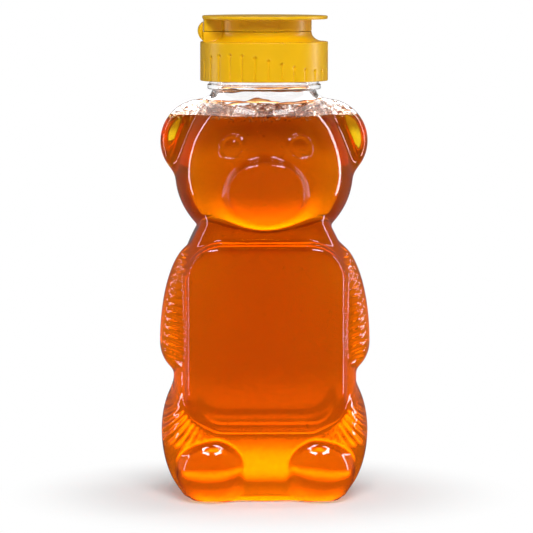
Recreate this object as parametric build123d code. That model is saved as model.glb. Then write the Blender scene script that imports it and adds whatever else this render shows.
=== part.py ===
from build123d import *
import os
from math import cos, radians, sqrt

# A honey bear bottle, in millimetres. The bear looks along -Y, its ears lie along X, the neck's axis is
# Z, and z = 0 is the table. The origin is the point of the table on the neck's axis.

# Moulded shell
shell_wall = 0.8
base_thickness = 2.2
honey_gap = 0.2
honey_level = 121.6
overrun = 5.0

# Head: a swelling with a taller crown than chin
head_half_width = 28.3
head_half_depth = 22.5
head_crown_rise = 31.0
head_chin_drop = 25.0
head_centre_height = 103.0

# Ears: round from the front, swollen in the middle, halfway through the head's depth
ear_radius = 13.3
ear_half_thickness = 6.5
ear_spread = 19.7
ear_height = 113.3

# Snout: a drafted oval boss with a rounded front edge
snout_half_width = 13.2
snout_half_height = 10.9
snout_draft = 1.0
snout_front = 27.4
snout_root = 16.0
snout_front_round = 2.2
snout_height = 98.3

# Eyes: domed buttons that stand a little proud of the face
eye_spread = 10.7
eye_height = 112.0
eye_radius = 3.8
eye_dome_rise = 0.9
eye_rim_rise = 0.35

# Trunk, lofted through rounded rectangles: shares of its height, half width, half depth and corner
trunk_height = 90.0
trunk_half_width = 28.9
trunk_half_depth = 22.0
trunk_corner = 11.0
trunk_section_shares = [
    (0.0, 0.86, 0.84),
    (0.07, 0.97, 0.96),
    (0.25, 1.0, 1.0),
    (0.45, 1.0, 1.0),
    (0.68, 0.975, 1.0),
    (0.82, 0.91, 0.95),
    (0.89, 0.84, 0.88),
    (0.945, 0.757, 0.8),
    (1.0, 0.66, 0.7),
]

# Label panels: one rounded block through the trunk gives the front and the back panel
panel_half_width = 25.1
panel_bottom = 22.4
panel_top = 82.0
panel_corner = 11.5
panel_reach = 23.7
panel_edge_round = 3.8

# Arms: a long taper up to the shoulder over a round lower end, with grooved fronts
arm_spread = 22.0
arm_forward = 8.0
arm_radius = 11.3
arm_rise = 31.5
arm_height = 50.0
arm_rib_count = 14
arm_rib_first = 42.0
arm_rib_pitch = 2.6
arm_rib_tilt = 18.0
rib_depth = 0.6
rib_groove_width = 0.9
arm_smooth_band = 2.2

# Haunches: thighs beside the trunk
haunch_spread = 20.0
haunch_half_width = 12.85
haunch_half_depth = 17.5
haunch_forward = 5.0
haunch_rise = 21.0
haunch_drop = 23.0
haunch_height = 21.5

# Paws: balls in front, cut flat by the table
paw_radius = 10.9
paw_spread = 17.1
paw_forward = 16.5
paw_height = 9.6

# Push-up: the shallow oval recess under the base
pushup_half_width = 16.0
pushup_half_depth = 12.0
pushup_depth = 1.2
pushup_slope = 3.0

# Neck and its finish, which the cap screws onto
neck_radius = 16.5
neck_bore_radius = 15.2
bead_radius = 18.0
bead_bottom = 129.8
bead_thickness = 1.6
bead_bevel = 0.4
finish_radius = 17.4
thread_height = 1.25
finish_top = 142.4
neck_root = 112.0

# Cap: ribbed skirt, flared pedestal and a deck with the pouring hole
cap_radius = 20.3
cap_wall = 1.2
cap_skirt_height = 12.4
cap_edge_bevel = 0.6
thread_clearance = 0.4
seal_gap = 0.15
liner_thickness = 0.8
liner_inner_radius = 12.0
liner_side_gap = 0.3
ring_deck_thickness = 1.35
pedestal_radius = 15.1
pedestal_height = 3.2
pedestal_foot_gap = 0.8
pedestal_flare = 3.0
deck_thickness = 1.5
pouring_hole_radius = 3.175
drip_dish_radius = 9.0
drip_dish_depth = 0.5
groove_count = 30
groove_width = 0.55
groove_depth = 0.3
groove_first_angle = 2.3
groove_mean_drop = 6.6
groove_wave = 2.56
groove_wave_angle = 34.0

# Flip lid: flat disc, skirt, plug, hinge lug, with the disc's rim as the thumb lip
parting_gap = 0.15
lid_disc_radius = 20.2
lid_disc_thickness = 1.1
lid_disc_bevel = 0.35
lid_height = 5.0
lid_skirt_wall = 1.2
plug_clearance = 0.06
plug_reach = 1.0
plug_wall = 0.9
plug_lead = 0.3
lug_half_width = 7.0
lug_reach = 19.4
lug_lid_trim = 0.2

# Living hinge: a strap bowed outwards between the two lugs
strap_half_width = 5.5
strap_thickness = 0.6
strap_half_height = 2.9
strap_bow = 1.6
strap_lid_gap = 0.1

# Heights that follow from the sizes above
liner_bottom = finish_top + seal_gap
deck_underside = liner_bottom + liner_thickness + seal_gap
cap_shoulder = deck_underside + ring_deck_thickness
cap_bottom = cap_shoulder - cap_skirt_height
parting_height = cap_shoulder + pedestal_height
lid_top = parting_height + lid_height
hinge_height = parting_height + parting_gap / 2
finish_bottom = bead_bottom + bead_thickness
cap_bore_radius = finish_radius + thread_height + thread_clearance


def swelling(half_width, half_depth, rise, drop):
    """Ellipsoid whose half above its widest level is as tall as rise, and whose half below as drop."""
    ball_top = Sphere(1, arc_size1=0, align=(Align.CENTER, Align.CENTER, Align.MIN))
    ball_bottom = Sphere(1, arc_size2=0, align=(Align.CENTER, Align.CENTER, Align.MAX))
    above = scale(ball_top, by=(half_width, half_depth, rise), about=(0, 0, 0))
    below = scale(ball_bottom, by=(half_width, half_depth, drop), about=(0, 0, 0))
    return above + below


def soften(edges, size, inset):
    """Round an edge of the outside, and bevel the same edge of the inside."""
    if inset:
        return chamfer(edges, size)
    return fillet(edges, size)


def mirrored(solid):
    """The same solid on both sides of the bear."""
    return solid + mirror(solid, about=Plane.YZ)


def head(inset):
    skull = swelling(
        head_half_width - inset, head_half_depth - inset,
        head_crown_rise - inset, head_chin_drop - inset,
    )
    return Pos(0, 0, head_centre_height) * skull


def ear(inset):
    radius = ear_radius - inset
    lens = scale(Sphere(1), by=(radius, ear_half_thickness - inset, radius), about=(0, 0, 0))
    return Pos(ear_spread, 0, ear_height) * lens


def snout(inset):
    half_width = snout_half_width - inset
    half_height = snout_half_height - inset
    reach = snout_front - inset
    root = Plane.XZ.offset(snout_root) * Pos(0, snout_height) * Ellipse(half_width, half_height)
    front_oval = Ellipse(half_width - snout_draft, half_height - snout_draft)
    front = Plane.XZ.offset(reach) * Pos(0, snout_height) * front_oval
    boss = loft([root, front])
    return soften(boss.faces().sort_by(Axis.Y)[0].edges(), snout_front_round, inset)


def face_point():
    """Where the middle of an eye lies on the head."""
    rise_share = (eye_height - head_centre_height) / head_crown_rise
    depth = head_half_depth * sqrt(1 - (eye_spread / head_half_width) ** 2 - rise_share**2)
    return Vector(eye_spread, -depth, eye_height)


def face_normal():
    """Which way the head faces at an eye."""
    point = face_point()
    return Vector(
        point.X / head_half_width**2,
        point.Y / head_half_depth**2,
        (point.Z - head_centre_height) / head_crown_rise**2,
    ).normalized()


def eye():
    """Round button: a cylinder square to the face, with a domed end."""
    ball_radius = (eye_radius**2 + eye_dome_rise**2) / (2 * eye_dome_rise)
    ball_drop = ball_radius - eye_dome_rise - eye_rim_rise
    button = Pos(0, 0, -ball_drop) * Sphere(ball_radius) & Cylinder(eye_radius, ball_radius)
    return Plane(face_point(), z_dir=face_normal()) * button


def trunk(inset):
    sections = []
    for height_share, width_share, depth_share in trunk_section_shares:
        outline = RectangleRounded(
            2 * (trunk_half_width * width_share - inset),
            2 * (trunk_half_depth * depth_share - inset),
            trunk_corner * width_share - inset,
        )
        sections.append(Pos(0, 0, trunk_height * height_share) * outline)
    return loft(sections)


def panels(inset):
    outline = RectangleRounded(
        2 * (panel_half_width - inset), panel_top - panel_bottom - 2 * inset, panel_corner - inset
    )
    middle = (panel_top + panel_bottom) / 2
    block = extrude(Plane.XZ * Pos(0, middle) * outline, amount=panel_reach - inset, both=True)
    faces = block.faces().sort_by(Axis.Y)
    return soften(faces[0].edges() + faces[-1].edges(), panel_edge_round - inset, inset)


def arm(inset):
    form = swelling(arm_radius - inset, arm_radius - inset, arm_rise - inset, arm_radius - inset)
    return Pos(arm_spread, -arm_forward, arm_height) * form


def haunch(inset):
    form = swelling(
        haunch_half_width - inset, haunch_half_depth - inset, haunch_rise - inset, haunch_drop - inset
    )
    return Pos(haunch_spread, -haunch_forward, haunch_height) * form


def groove_slabs():
    """Tilted slabs, one above the other, that mark the grooves on the front of an arm."""
    slab = Box(2 * arm_radius, 2 * arm_radius, rib_groove_width, align=(Align.CENTER, Align.MAX, Align.CENTER))
    slabs = Part()
    for step in range(arm_rib_count):
        place = Pos(arm_spread + arm_radius / 2, -arm_forward, arm_rib_first + step * arm_rib_pitch)
        slabs += place * Rot(0, -arm_rib_tilt, 0) * slab
    return slabs


def grooved_arm():
    """Arm with the slabs cut into its skin, apart from the smooth band on its outer side."""
    skin = arm(0) - arm(rib_depth)
    smooth_from = arm_spread + arm_radius - arm_smooth_band
    inner_side = Pos(smooth_from, -arm_forward, arm_height) * Box(
        3 * arm_radius, 3 * arm_radius, 3 * arm_rise, align=(Align.MAX, Align.CENTER, Align.CENTER)
    )
    return arm(0) - (skin & groove_slabs() & inner_side)


def paw(inset):
    return Pos(paw_spread, -paw_forward, paw_height) * Sphere(paw_radius - inset)


def above_level(level):
    """Everything that the bear could fill above a level."""
    side = 2 * (haunch_spread + haunch_half_width + overrun)
    block = Box(side, side, finish_top + overrun, align=(Align.CENTER, Align.CENTER, Align.MIN))
    return Pos(0, 0, level) * block


def bear_form(inset, arm_form):
    """The bear without its neck, every surface moved inwards by the inset."""
    limbs = mirrored(arm_form) + mirrored(haunch(inset)) + mirrored(paw(inset))
    face = head(inset) + mirrored(ear(inset)) + snout(inset)
    return trunk(inset) + panels(inset) + limbs + face


def neck_column():
    """Neck, carrying bead and threaded finish, as one solid column."""
    neck = Pos(0, 0, neck_root) * upright(neck_radius, finish_bottom - neck_root)
    bead = upright(bead_radius, bead_thickness)
    bead = Pos(0, 0, bead_bottom) * chamfer(bead.edges().filter_by(GeomType.CIRCLE), bead_bevel)
    finish = Pos(0, 0, finish_bottom) * upright(finish_radius, finish_top - finish_bottom)
    return neck + bead + finish


def upright(radius, height):
    """Cylinder that stands on z = 0."""
    return Cylinder(radius, height, align=(Align.CENTER, Align.CENTER, Align.MIN))


def push_up():
    rim = Ellipse(pushup_half_width, pushup_half_depth)
    crown = Ellipse(pushup_half_width - pushup_slope, pushup_half_depth - pushup_slope)
    return loft([rim, Pos(0, 0, pushup_depth) * crown])


def build_bottle():
    outside = bear_form(0, grooved_arm())
    outside = outside + mirrored(eye()) + neck_column()
    cavity = bear_form(shell_wall, arm(shell_wall)) & above_level(base_thickness)
    bore = Pos(0, 0, neck_root) * upright(neck_bore_radius, finish_top - neck_root + overrun)
    return (outside & above_level(0)) - push_up() - cavity - bore


def build_honey():
    inset = shell_wall + honey_gap
    form = bear_form(inset, arm(inset))
    return (form & above_level(base_thickness + honey_gap)) - above_level(honey_level)


def build_seal_liner():
    outer_radius = cap_bore_radius - liner_side_gap
    disc = upright(outer_radius, liner_thickness) - upright(liner_inner_radius, liner_thickness)
    return Pos(0, 0, liner_bottom) * disc


def pedestal_profile():
    """Half section of the closed cap: skirt, rounded shoulder, concave flare and deck."""
    foot = cap_radius - pedestal_foot_gap
    flare_top = cap_shoulder + pedestal_flare
    outer = Polyline(
        (0, cap_bottom), (cap_radius, cap_bottom), (cap_radius, cap_shoulder), (foot, cap_shoulder)
    )
    flare = RadiusArc((foot, cap_shoulder), (pedestal_radius, flare_top), -(foot - pedestal_radius))
    rest = Polyline((pedestal_radius, flare_top), (pedestal_radius, parting_height), (0, parting_height))
    close = Line((0, parting_height), (0, cap_bottom))
    return Plane.XZ * make_face(outer + flare + rest + close)


def cap_hollow():
    """Space inside the cap: the bore for the bottle's finish, and the hollow under the deck."""
    bore = Pos(0, 0, cap_bottom) * upright(cap_bore_radius, deck_underside - cap_bottom)
    hollow_top = parting_height - deck_thickness
    hollow = Pos(0, 0, deck_underside) * upright(pedestal_radius - cap_wall, hollow_top - deck_underside)
    return bore + hollow


def groove_drop(angle):
    """How far below the shoulder a groove ends: the tops follow two waves round the skirt."""
    return groove_mean_drop - groove_wave * cos(radians(2 * (angle + groove_wave_angle)))


def skirt_grooves():
    grooves = Part()
    for number in range(groove_count):
        angle = groove_first_angle + number * 360 / groove_count
        height = cap_skirt_height - groove_drop(angle)
        cutter = Box(groove_width, 2 * groove_depth, height, align=(Align.CENTER, Align.CENTER, Align.MIN))
        grooves += Rot(0, 0, angle) * Pos(0, -cap_radius, cap_bottom) * cutter
    return grooves


def lug(height):
    """Block between the skirt and the living hinge, on the bear's right side."""
    inner = pedestal_radius - cap_wall
    block = Box(lug_reach - inner, 2 * lug_half_width, height, align=(Align.MIN, Align.CENTER, Align.MIN))
    return Pos(-lug_reach, 0, 0) * block


def build_screw_cap():
    body = revolve(pedestal_profile(), axis=Axis.Z)
    rim = body.edges().filter_by(GeomType.CIRCLE).filter_by(on_shoulder)
    body = chamfer(rim, cap_edge_bevel) + Pos(0, 0, cap_shoulder) * lug(pedestal_height)
    pouring_hole = Pos(0, 0, cap_bottom) * upright(pouring_hole_radius, parting_height)
    dish = Pos(0, 0, parting_height - drip_dish_depth) * upright(drip_dish_radius, overrun)
    return body - cap_hollow() - pouring_hole - dish - skirt_grooves()


def on_shoulder(edge):
    """Whether a round edge is the outer one of the cap's shoulder."""
    return edge.radius > cap_radius - pedestal_foot_gap / 2 and edge.center().Z > cap_bottom + overrun


def build_flip_lid():
    skirt_bottom = parting_height + parting_gap
    disc_bottom = lid_top - lid_disc_thickness
    disc = upright(lid_disc_radius, lid_disc_thickness)
    disc = Pos(0, 0, disc_bottom) * chamfer(disc.edges().filter_by(GeomType.CIRCLE), lid_disc_bevel)
    beyond_lug = Pos(-lug_reach - lug_lid_trim, 0, disc_bottom) * Box(
        overrun, 2 * lid_disc_radius, overrun, align=(Align.MAX, Align.CENTER, Align.CENTER)
    )
    skirt = upright(pedestal_radius, disc_bottom - skirt_bottom) + lug(disc_bottom - skirt_bottom)
    skirt -= upright(pedestal_radius - lid_skirt_wall, disc_bottom - skirt_bottom)
    return disc - beyond_lug + Pos(0, 0, skirt_bottom) * skirt + plug(disc_bottom)


def plug(top):
    """Hollow plug that shuts the pouring hole, with a chamfered lead."""
    radius = pouring_hole_radius - plug_clearance
    bottom = parting_height - drip_dish_depth - plug_reach
    stem = upright(radius, top - bottom)
    stem = chamfer(stem.edges().filter_by(GeomType.CIRCLE).sort_by(Axis.Z)[0], plug_lead)
    return Pos(0, 0, bottom) * (stem - upright(radius - plug_wall, top - bottom - plug_wall))


def build_hinge_strap():
    inside = -lug_reach
    low, high = hinge_height - strap_half_height, hinge_height + strap_half_height
    outer = ThreePointArc((inside, low), (inside - strap_bow, hinge_height), (inside, high))
    inner_bow = strap_bow - strap_thickness
    inner = ThreePointArc(
        (inside, high - strap_thickness), (inside - inner_bow, hinge_height), (inside, low + strap_thickness)
    )
    ends = Line((inside, high), (inside, high - strap_thickness))
    ends += Line((inside, low + strap_thickness), (inside, low))
    band = extrude(Plane.XZ * make_face(outer + ends + inner), amount=strap_half_width, both=True)
    lid_side = Pos(inside, 0, hinge_height) * Box(
        strap_lid_gap, 2 * lug_half_width, overrun, align=(Align.MAX, Align.CENTER, Align.MIN)
    )
    return band - lid_side


builders = {
    "bottle": build_bottle,
    "honey": build_honey,
    "seal_liner": build_seal_liner,
    "screw_cap": build_screw_cap,
    "flip_lid": build_flip_lid,
    "hinge_strap": build_hinge_strap,
}

os.makedirs("parts", exist_ok=True)
for name, build in builders.items():
    export_step(build(), "parts/" + name + ".step")
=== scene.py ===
from math import atan2, cos, pi, radians, sin, tan

import bpy
import numpy as np
from bpy.props import FloatProperty, FloatVectorProperty, IntProperty, PointerProperty
from bpy.types import Operator, Panel, PropertyGroup, Scene
from mathutils import Euler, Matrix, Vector


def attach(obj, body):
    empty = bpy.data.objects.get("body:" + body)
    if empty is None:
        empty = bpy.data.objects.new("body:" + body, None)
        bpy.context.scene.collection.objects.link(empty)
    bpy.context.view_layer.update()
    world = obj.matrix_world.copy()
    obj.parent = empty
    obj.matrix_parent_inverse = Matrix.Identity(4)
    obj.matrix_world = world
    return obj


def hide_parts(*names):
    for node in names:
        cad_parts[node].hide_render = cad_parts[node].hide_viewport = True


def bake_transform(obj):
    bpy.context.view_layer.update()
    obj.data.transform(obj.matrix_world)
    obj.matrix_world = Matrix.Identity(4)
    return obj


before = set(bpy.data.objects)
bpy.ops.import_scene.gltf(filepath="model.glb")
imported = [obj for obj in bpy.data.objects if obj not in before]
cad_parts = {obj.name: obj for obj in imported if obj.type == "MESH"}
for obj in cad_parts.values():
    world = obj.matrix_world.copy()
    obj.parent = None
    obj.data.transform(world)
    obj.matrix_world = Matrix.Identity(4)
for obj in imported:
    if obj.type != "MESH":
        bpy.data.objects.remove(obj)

bl_info = {
    "name": "Honey Bear Bottle",
    "version": (1, 0, 0),
    "blender": (4, 5, 0),
    "location": "View3D > Sidebar > Honey Bear",
    "description": "Builds a bear-shaped squeeze bottle of honey with its flip-top screw cap",
    "category": "Add Mesh",
}

# Every size below is in millimetres and follows the CAD source. Meshes are scaled to metres once, by build().
MM = 0.001

# Trunk: its full sizes, and the shares of height, width and depth at each section
TRUNK_HEIGHT = 90.0
TRUNK_HALF_WIDTH = 28.9
TRUNK_HALF_DEPTH = 22.0
TRUNK_CORNER = 11.0
TRUNK_SHARES = np.array(
    [
        (0.0, 0.86, 0.84), (0.07, 0.97, 0.96), (0.25, 1.0, 1.0), (0.45, 1.0, 1.0), (0.68, 0.975, 1.0),
        (0.82, 0.91, 0.95), (0.89, 0.84, 0.88), (0.945, 0.757, 0.8), (1.0, 0.66, 0.7),
    ]
)

# Swollen forms: radii are along x, along y, above the centre and below it
HEAD_CENTRE, HEAD_RADII = (0.0, 0.0, 103.0), (28.3, 22.5, 31.0, 25.0)
EAR_CENTRE, EAR_RADII = (19.7, 0.0, 113.3), (13.3, 6.5, 13.3, 13.3)
ARM_CENTRE, ARM_RADII = (22.0, -8.0, 50.0), (11.3, 11.3, 31.5, 11.3)
HAUNCH_CENTRE, HAUNCH_RADII = (20.0, -5.0, 21.5), (12.85, 17.5, 21.0, 23.0)
PAW_CENTRE, PAW_RADIUS = (17.1, -16.5, 9.6), 10.9

# Label panels, snout, eyes and the ribs on the arms
PANEL_MIDDLE, PANEL_HALF_WIDTH, PANEL_HALF_HEIGHT = 52.2, 25.1, 29.8
PANEL_CORNER, PANEL_REACH, PANEL_ROUND = 11.5, 23.7, 3.8
SNOUT_HEIGHT, SNOUT_REACH, SNOUT_ROUND = 98.3, 27.4, 2.2
SNOUT_HALF_WIDTH, SNOUT_HALF_HEIGHT = 13.2, 10.9
EYE_SPREAD, EYE_HEIGHT = 10.7, 112.0
RIB_FIRST, RIB_PITCH, RIB_TILT, RIB_MIDDLE = 42.0, 2.6, 18.0, 27.65

# Neck, bead and finish
NECK_RADIUS = 16.5
BORE_RADIUS = 15.2
NECK_WALL = NECK_RADIUS - BORE_RADIUS
BEAD_RADIUS, BEAD_BOTTOM, BEAD_TOP = 18.0, 129.8, 131.4
FINISH_RADIUS, FINISH_TOP = 17.4, 142.4
THREAD_START = 134.6

# Heights of the inner wall's floor and of the honey's, and where the rays that find a skin fan out
INNER_BASE, HONEY_BASE = 2.2, 1.9
FAN_FOOT, FAN_HEAD, FAN_NECK = 5.0, 121.6, 129.0

# Closure
CAP_RADIUS, CAP_BOTTOM, CAP_SHOULDER = 20.3, 132.45, 144.85
DECK_UNDERSIDE = 143.5
PEDESTAL_RADIUS = 15.1
PARTING = 148.05
LID_TOP = 153.05
GROOVE_COUNT, GROOVE_FIRST, GROOVE_STEP = 30, 2.3, 12.0

WHITE = (1.0, 1.0, 1.0, 1.0)


# Shared shape functions


def smooth_union(a, b, reach):
    """Smaller of two distances, rounded over where they differ by less than reach."""
    share = np.clip(0.5 + 0.5 * (b - a) / reach, 0.0, 1.0)
    return b + (a - b) * share - reach * share * (1.0 - share)


def step_between(low, high, value):
    """0 below low, 1 above high, and 3t^2 - 2t^3 between."""
    t = np.clip((value - low) / (high - low), 0.0, 1.0)
    return t * t * (3.0 - 2.0 * t)


def stretched(offsets, radii):
    """Distance to an ellipse or ellipsoid as k (k - 1) / m, where k is the length of the offsets over the
    radii and m that of the offsets over the radii squared."""
    k = np.sqrt(sum((offset / radius) ** 2 for offset, radius in zip(offsets, radii)))
    m = np.sqrt(sum((offset / radius**2) ** 2 for offset, radius in zip(offsets, radii)))
    return k * (k - 1.0) / np.maximum(m, 1e-9)


def ellipsoid(x, y, z, centre, radii):
    """Distance to an ellipsoid that has one radius above its centre and another below it."""
    x, y, z = x - centre[0], y - centre[1], z - centre[2]
    return stretched((x, y, z), (radii[0], radii[1], np.where(z > 0.0, radii[2], radii[3])))


def round_corner(a, b, radius):
    """Distance to what lies inside both of two distances, with the corner between them rounded by radius."""
    a, b = a + radius, b + radius
    return np.hypot(np.maximum(a, 0.0), np.maximum(b, 0.0)) + np.minimum(np.maximum(a, b), 0.0) - radius


def trunk_table():
    """The trunk's half width, half depth and corner at even heights, with the loft's softness."""
    heights = np.linspace(-6.0, 96.0, 409)
    kernel = np.exp(-((np.linspace(-3.0, 3.0, 49) / 1.6) ** 2))
    kernel /= kernel.sum()
    soft = []
    for column in (1, 2):
        share = np.interp(heights / TRUNK_HEIGHT, TRUNK_SHARES[:, 0], TRUNK_SHARES[:, column])
        soft.append(np.convolve(np.pad(share, 24, mode="edge"), kernel, mode="valid"))
    wide, deep = soft
    return heights, wide * TRUNK_HALF_WIDTH, deep * TRUNK_HALF_DEPTH, wide * TRUNK_CORNER


TRUNK_TABLE = trunk_table()


def trunk_distance(x, y, z):
    """Distance to the trunk: at each height, a rounded rectangle with sizes read from the table."""
    heights = TRUNK_TABLE[0]
    wide, deep, corner = (np.interp(z, heights, values) for values in TRUNK_TABLE[1:])
    return np.maximum(round_corner(np.abs(x) - wide, np.abs(y) - deep, corner), z - TRUNK_HEIGHT)


def snout_distance(x, y, z):
    """Distance to the snout: an upright oval carried along -Y, 1 mm smaller in front, with a round rim."""
    share = np.clip((-y - 16.0) / 11.4, 0.0, 1.0)
    oval = stretched((x, z - SNOUT_HEIGHT), (SNOUT_HALF_WIDTH - share, SNOUT_HALF_HEIGHT - share))
    return np.maximum(round_corner(oval, -y - SNOUT_REACH, SNOUT_ROUND), y + 4.0)


def arm_band(y, z):
    """Where the arm is ribbed: 1 on its front, falling to 0 on its outer side, its back and its ends."""
    climb = np.clip(z - ARM_CENTRE[2], 0.0, 31.0) / ARM_RADII[2]
    width = ARM_RADII[1] * np.sqrt(np.clip(1.0 - climb**2, 0.02, 1.0))
    front = step_between(0.42, 0.6, (ARM_CENTRE[1] - y) / width)
    return front * step_between(40.6, 41.4, z) * step_between(78.5, 77.5, z)


def arm_grooves(x, y, z):
    """Share of the full depth of the narrow grooves between the arm's round-backed ribs, which slope down
    towards the panel."""
    phase = (z - tan(radians(RIB_TILT)) * (x - RIB_MIDDLE) - RIB_FIRST) / RIB_PITCH
    across = np.abs(phase - np.round(phase)) * 2.0
    return (1.0 - np.sqrt(1.0 - (0.96 * (1.0 - across)) ** 2)) * arm_band(y, z)


def haunch_grooves(x, y, z):
    """Share of the full depth of the haunch's grooves, which fan out downwards every 4.2 degrees."""
    phase = np.degrees(np.arctan2(z - 44.0, x - 10.0)) / 4.2
    across = np.abs(phase - np.round(phase)) * 2.0
    groove = np.exp(-((across / 0.42) ** 2))
    return groove * step_between(-6.0, -11.0, y) * step_between(17.0, 21.0, z) * step_between(40.0, 36.0, z)


def eye_buttons(x, y, z):
    """Height of the eyes over the face: a low dome inside a narrow rim."""
    rise = (EYE_HEIGHT - HEAD_CENTRE[2]) / HEAD_RADII[2]
    depth = HEAD_RADII[1] * np.sqrt(1.0 - (EYE_SPREAD / HEAD_RADII[0]) ** 2 - rise**2)
    away = np.sqrt((x - EYE_SPREAD) ** 2 + (y + depth) ** 2 + (z - EYE_HEIGHT) ** 2)
    dome = 0.75 * np.clip(1.0 - (away / 3.2) ** 2, 0.0, 1.0)
    rim = 0.9 * np.exp(-(((away - 3.8) / 0.45) ** 2))
    return (dome + rim) * step_between(-8.0, -12.0, y)


def body_distance(x, y, z, crease, detail):
    """Distance to the bear below its neck, its forms joined by small rounded creases. A detail above 0 adds
    the grooves and eyes. One below 0 sinks the arms' ribbed band by that much, for a surface inside."""
    x = np.abs(x)
    flat = round_corner(x - PANEL_HALF_WIDTH, np.abs(z - PANEL_MIDDLE) - PANEL_HALF_HEIGHT, PANEL_CORNER)
    panel = round_corner(flat, np.abs(y) - PANEL_REACH, PANEL_ROUND)
    arm = ellipsoid(x, y, z, ARM_CENTRE, ARM_RADII)
    haunch = ellipsoid(x, y, z, HAUNCH_CENTRE, HAUNCH_RADII)
    paw = np.sqrt(sum((at - to) ** 2 for at, to in zip((x, y, z), PAW_CENTRE))) - PAW_RADIUS
    head = ellipsoid(x, y, z, HEAD_CENTRE, HEAD_RADII)
    ear = ellipsoid(x, y, z, EAR_CENTRE, EAR_RADII)
    if detail < 0.0:
        arm = arm - detail * arm_band(y, z)
    if detail > 0.0:
        arm = arm + detail * arm_grooves(x, y, z)
        haunch = haunch + 0.26 * detail * haunch_grooves(x, y, z)
        head = head - eye_buttons(x, y, z)
    upper = smooth_union(trunk_distance(x, y, z), arm, crease)
    low = smooth_union(upper, smooth_union(haunch, paw, crease), crease)
    low = smooth_union(low, panel, crease)
    face = smooth_union(smooth_union(head, ear, 1.4 * crease), snout_distance(x, y, z), 1.4 * crease)
    return smooth_union(low, face, 0.9 * crease)


def base_height(x, y):
    """Height of the standing face: flat, with a shallow oval push-up."""
    return 1.2 * step_between(1.0, 0.74, np.hypot(x / 16.0, y / 12.0))


def shell_distance(x, y, z, inset, neck_inset, base, crease, detail=0.0):
    """Distance to the bear with its skin moved inwards by inset, its neck by neck_inset and its base up to a
    height. A base of 0 is the standing face with its push-up."""
    body = body_distance(x, y, z, crease, detail) + inset
    neck = np.maximum(np.hypot(x, y) - NECK_RADIUS + neck_inset, 112.0 - z)
    whole = smooth_union(body, neck, 1.5)
    floor, softness = (base, 0.5) if base else (base_height(x, y), 0.9)
    return -smooth_union(-whole, z - floor, softness)


def columns(count):
    """Directions round the axis, set closer together on the bear's front."""
    even = np.linspace(-pi, pi, 4001)
    weight = 1.0 + 0.5 * np.cos(even)
    total = np.concatenate([[0.0], np.cumsum(0.5 * (weight[1:] + weight[:-1]))])
    return np.interp(np.arange(count) / count * total[-1], total, even) - pi / 2


def tilt(z, turn):
    """How steeply a ray climbs outwards: up over the snout, down under it, and level elsewhere."""
    rise = np.interp(z, [78.0, 82.0, 87.4, 98.3, 109.2, 121.6], [0.0, 0.0, -0.5, 0.0, 0.5, 0.0])
    return rise * step_between(0.35, 0.8, np.cos(turn + pi / 2))


def rays(turn, levels, fan_rows, neck_radius):
    """Rays that go out from the axis: a fan under the lowest level, one ray for each level, and a fan over
    the highest one, up to the neck. Returns heights on the axis and angles, as rows by columns."""
    below = np.radians(np.linspace(-90.0, 0.0, fan_rows[0] + 1)[1:-1])
    above = np.linspace(0.0, atan2(FAN_NECK - FAN_HEAD, neck_radius), fan_rows[1] + 1)[1:]
    start = np.concatenate([np.full(below.shape, FAN_FOOT), levels, np.full(above.shape, FAN_HEAD)])
    angle = np.concatenate([below, np.zeros(levels.shape), above])
    start = np.repeat(start[:, None], turn.size, axis=1)
    angle = np.repeat(angle[:, None], turn.size, axis=1)
    middle = slice(below.size, below.size + levels.size)
    slope = tilt(start[middle], turn[None, :])
    angle[middle] = np.arctan(slope)
    start[middle] -= 22.0 * slope
    return start, angle


def cast(turn, start, angle, *shell):
    """Where each ray leaves the bear's shell. The ray is followed from outside by steps of the distance left,
    and the crossing is then closed in on by halving. The shell is given as shell_distance takes it."""
    flat_x, flat_y = np.cos(turn)[None, :], np.sin(turn)[None, :]
    flat, climb = np.cos(angle), np.sin(angle)

    def point(length):
        return length * flat * flat_x, length * flat * flat_y, start + length * climb

    length = np.full(start.shape, 46.0)
    for _ in range(70):
        length = np.maximum(length - 0.72 * np.maximum(shell_distance(*point(length), *shell), 0.0), 1.0)
    low, high = length - 0.5, length + 0.05
    for _ in range(14):
        middle = 0.5 * (low + high)
        outside = shell_distance(*point(middle), *shell) > 0.0
        high = np.where(outside, middle, high)
        low = np.where(outside, low, middle)
    return np.stack(point(0.5 * (low + high)), axis=-1)


def around(turn, radius, z):
    """Rings of points: one row for each radius and height, which are the same all round or one per column."""
    return np.stack(np.broadcast_arrays(radius * np.cos(turn), radius * np.sin(turn), z), axis=-1)


def even_turn(count):
    """Directions that lie evenly round the axis."""
    return np.arange(count) * 2 * pi / count


def spaced(knots, gaps):
    """Heights from the first knot to the last, about gap apart between each knot and the next."""
    parts = [
        np.linspace(a, b, max(2, int(round((b - a) / gap)) + 1))[:-1]
        for a, b, gap in zip(knots[:-1], knots[1:], gaps)
    ]
    return np.concatenate(parts + [np.array([knots[-1]])])


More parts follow.
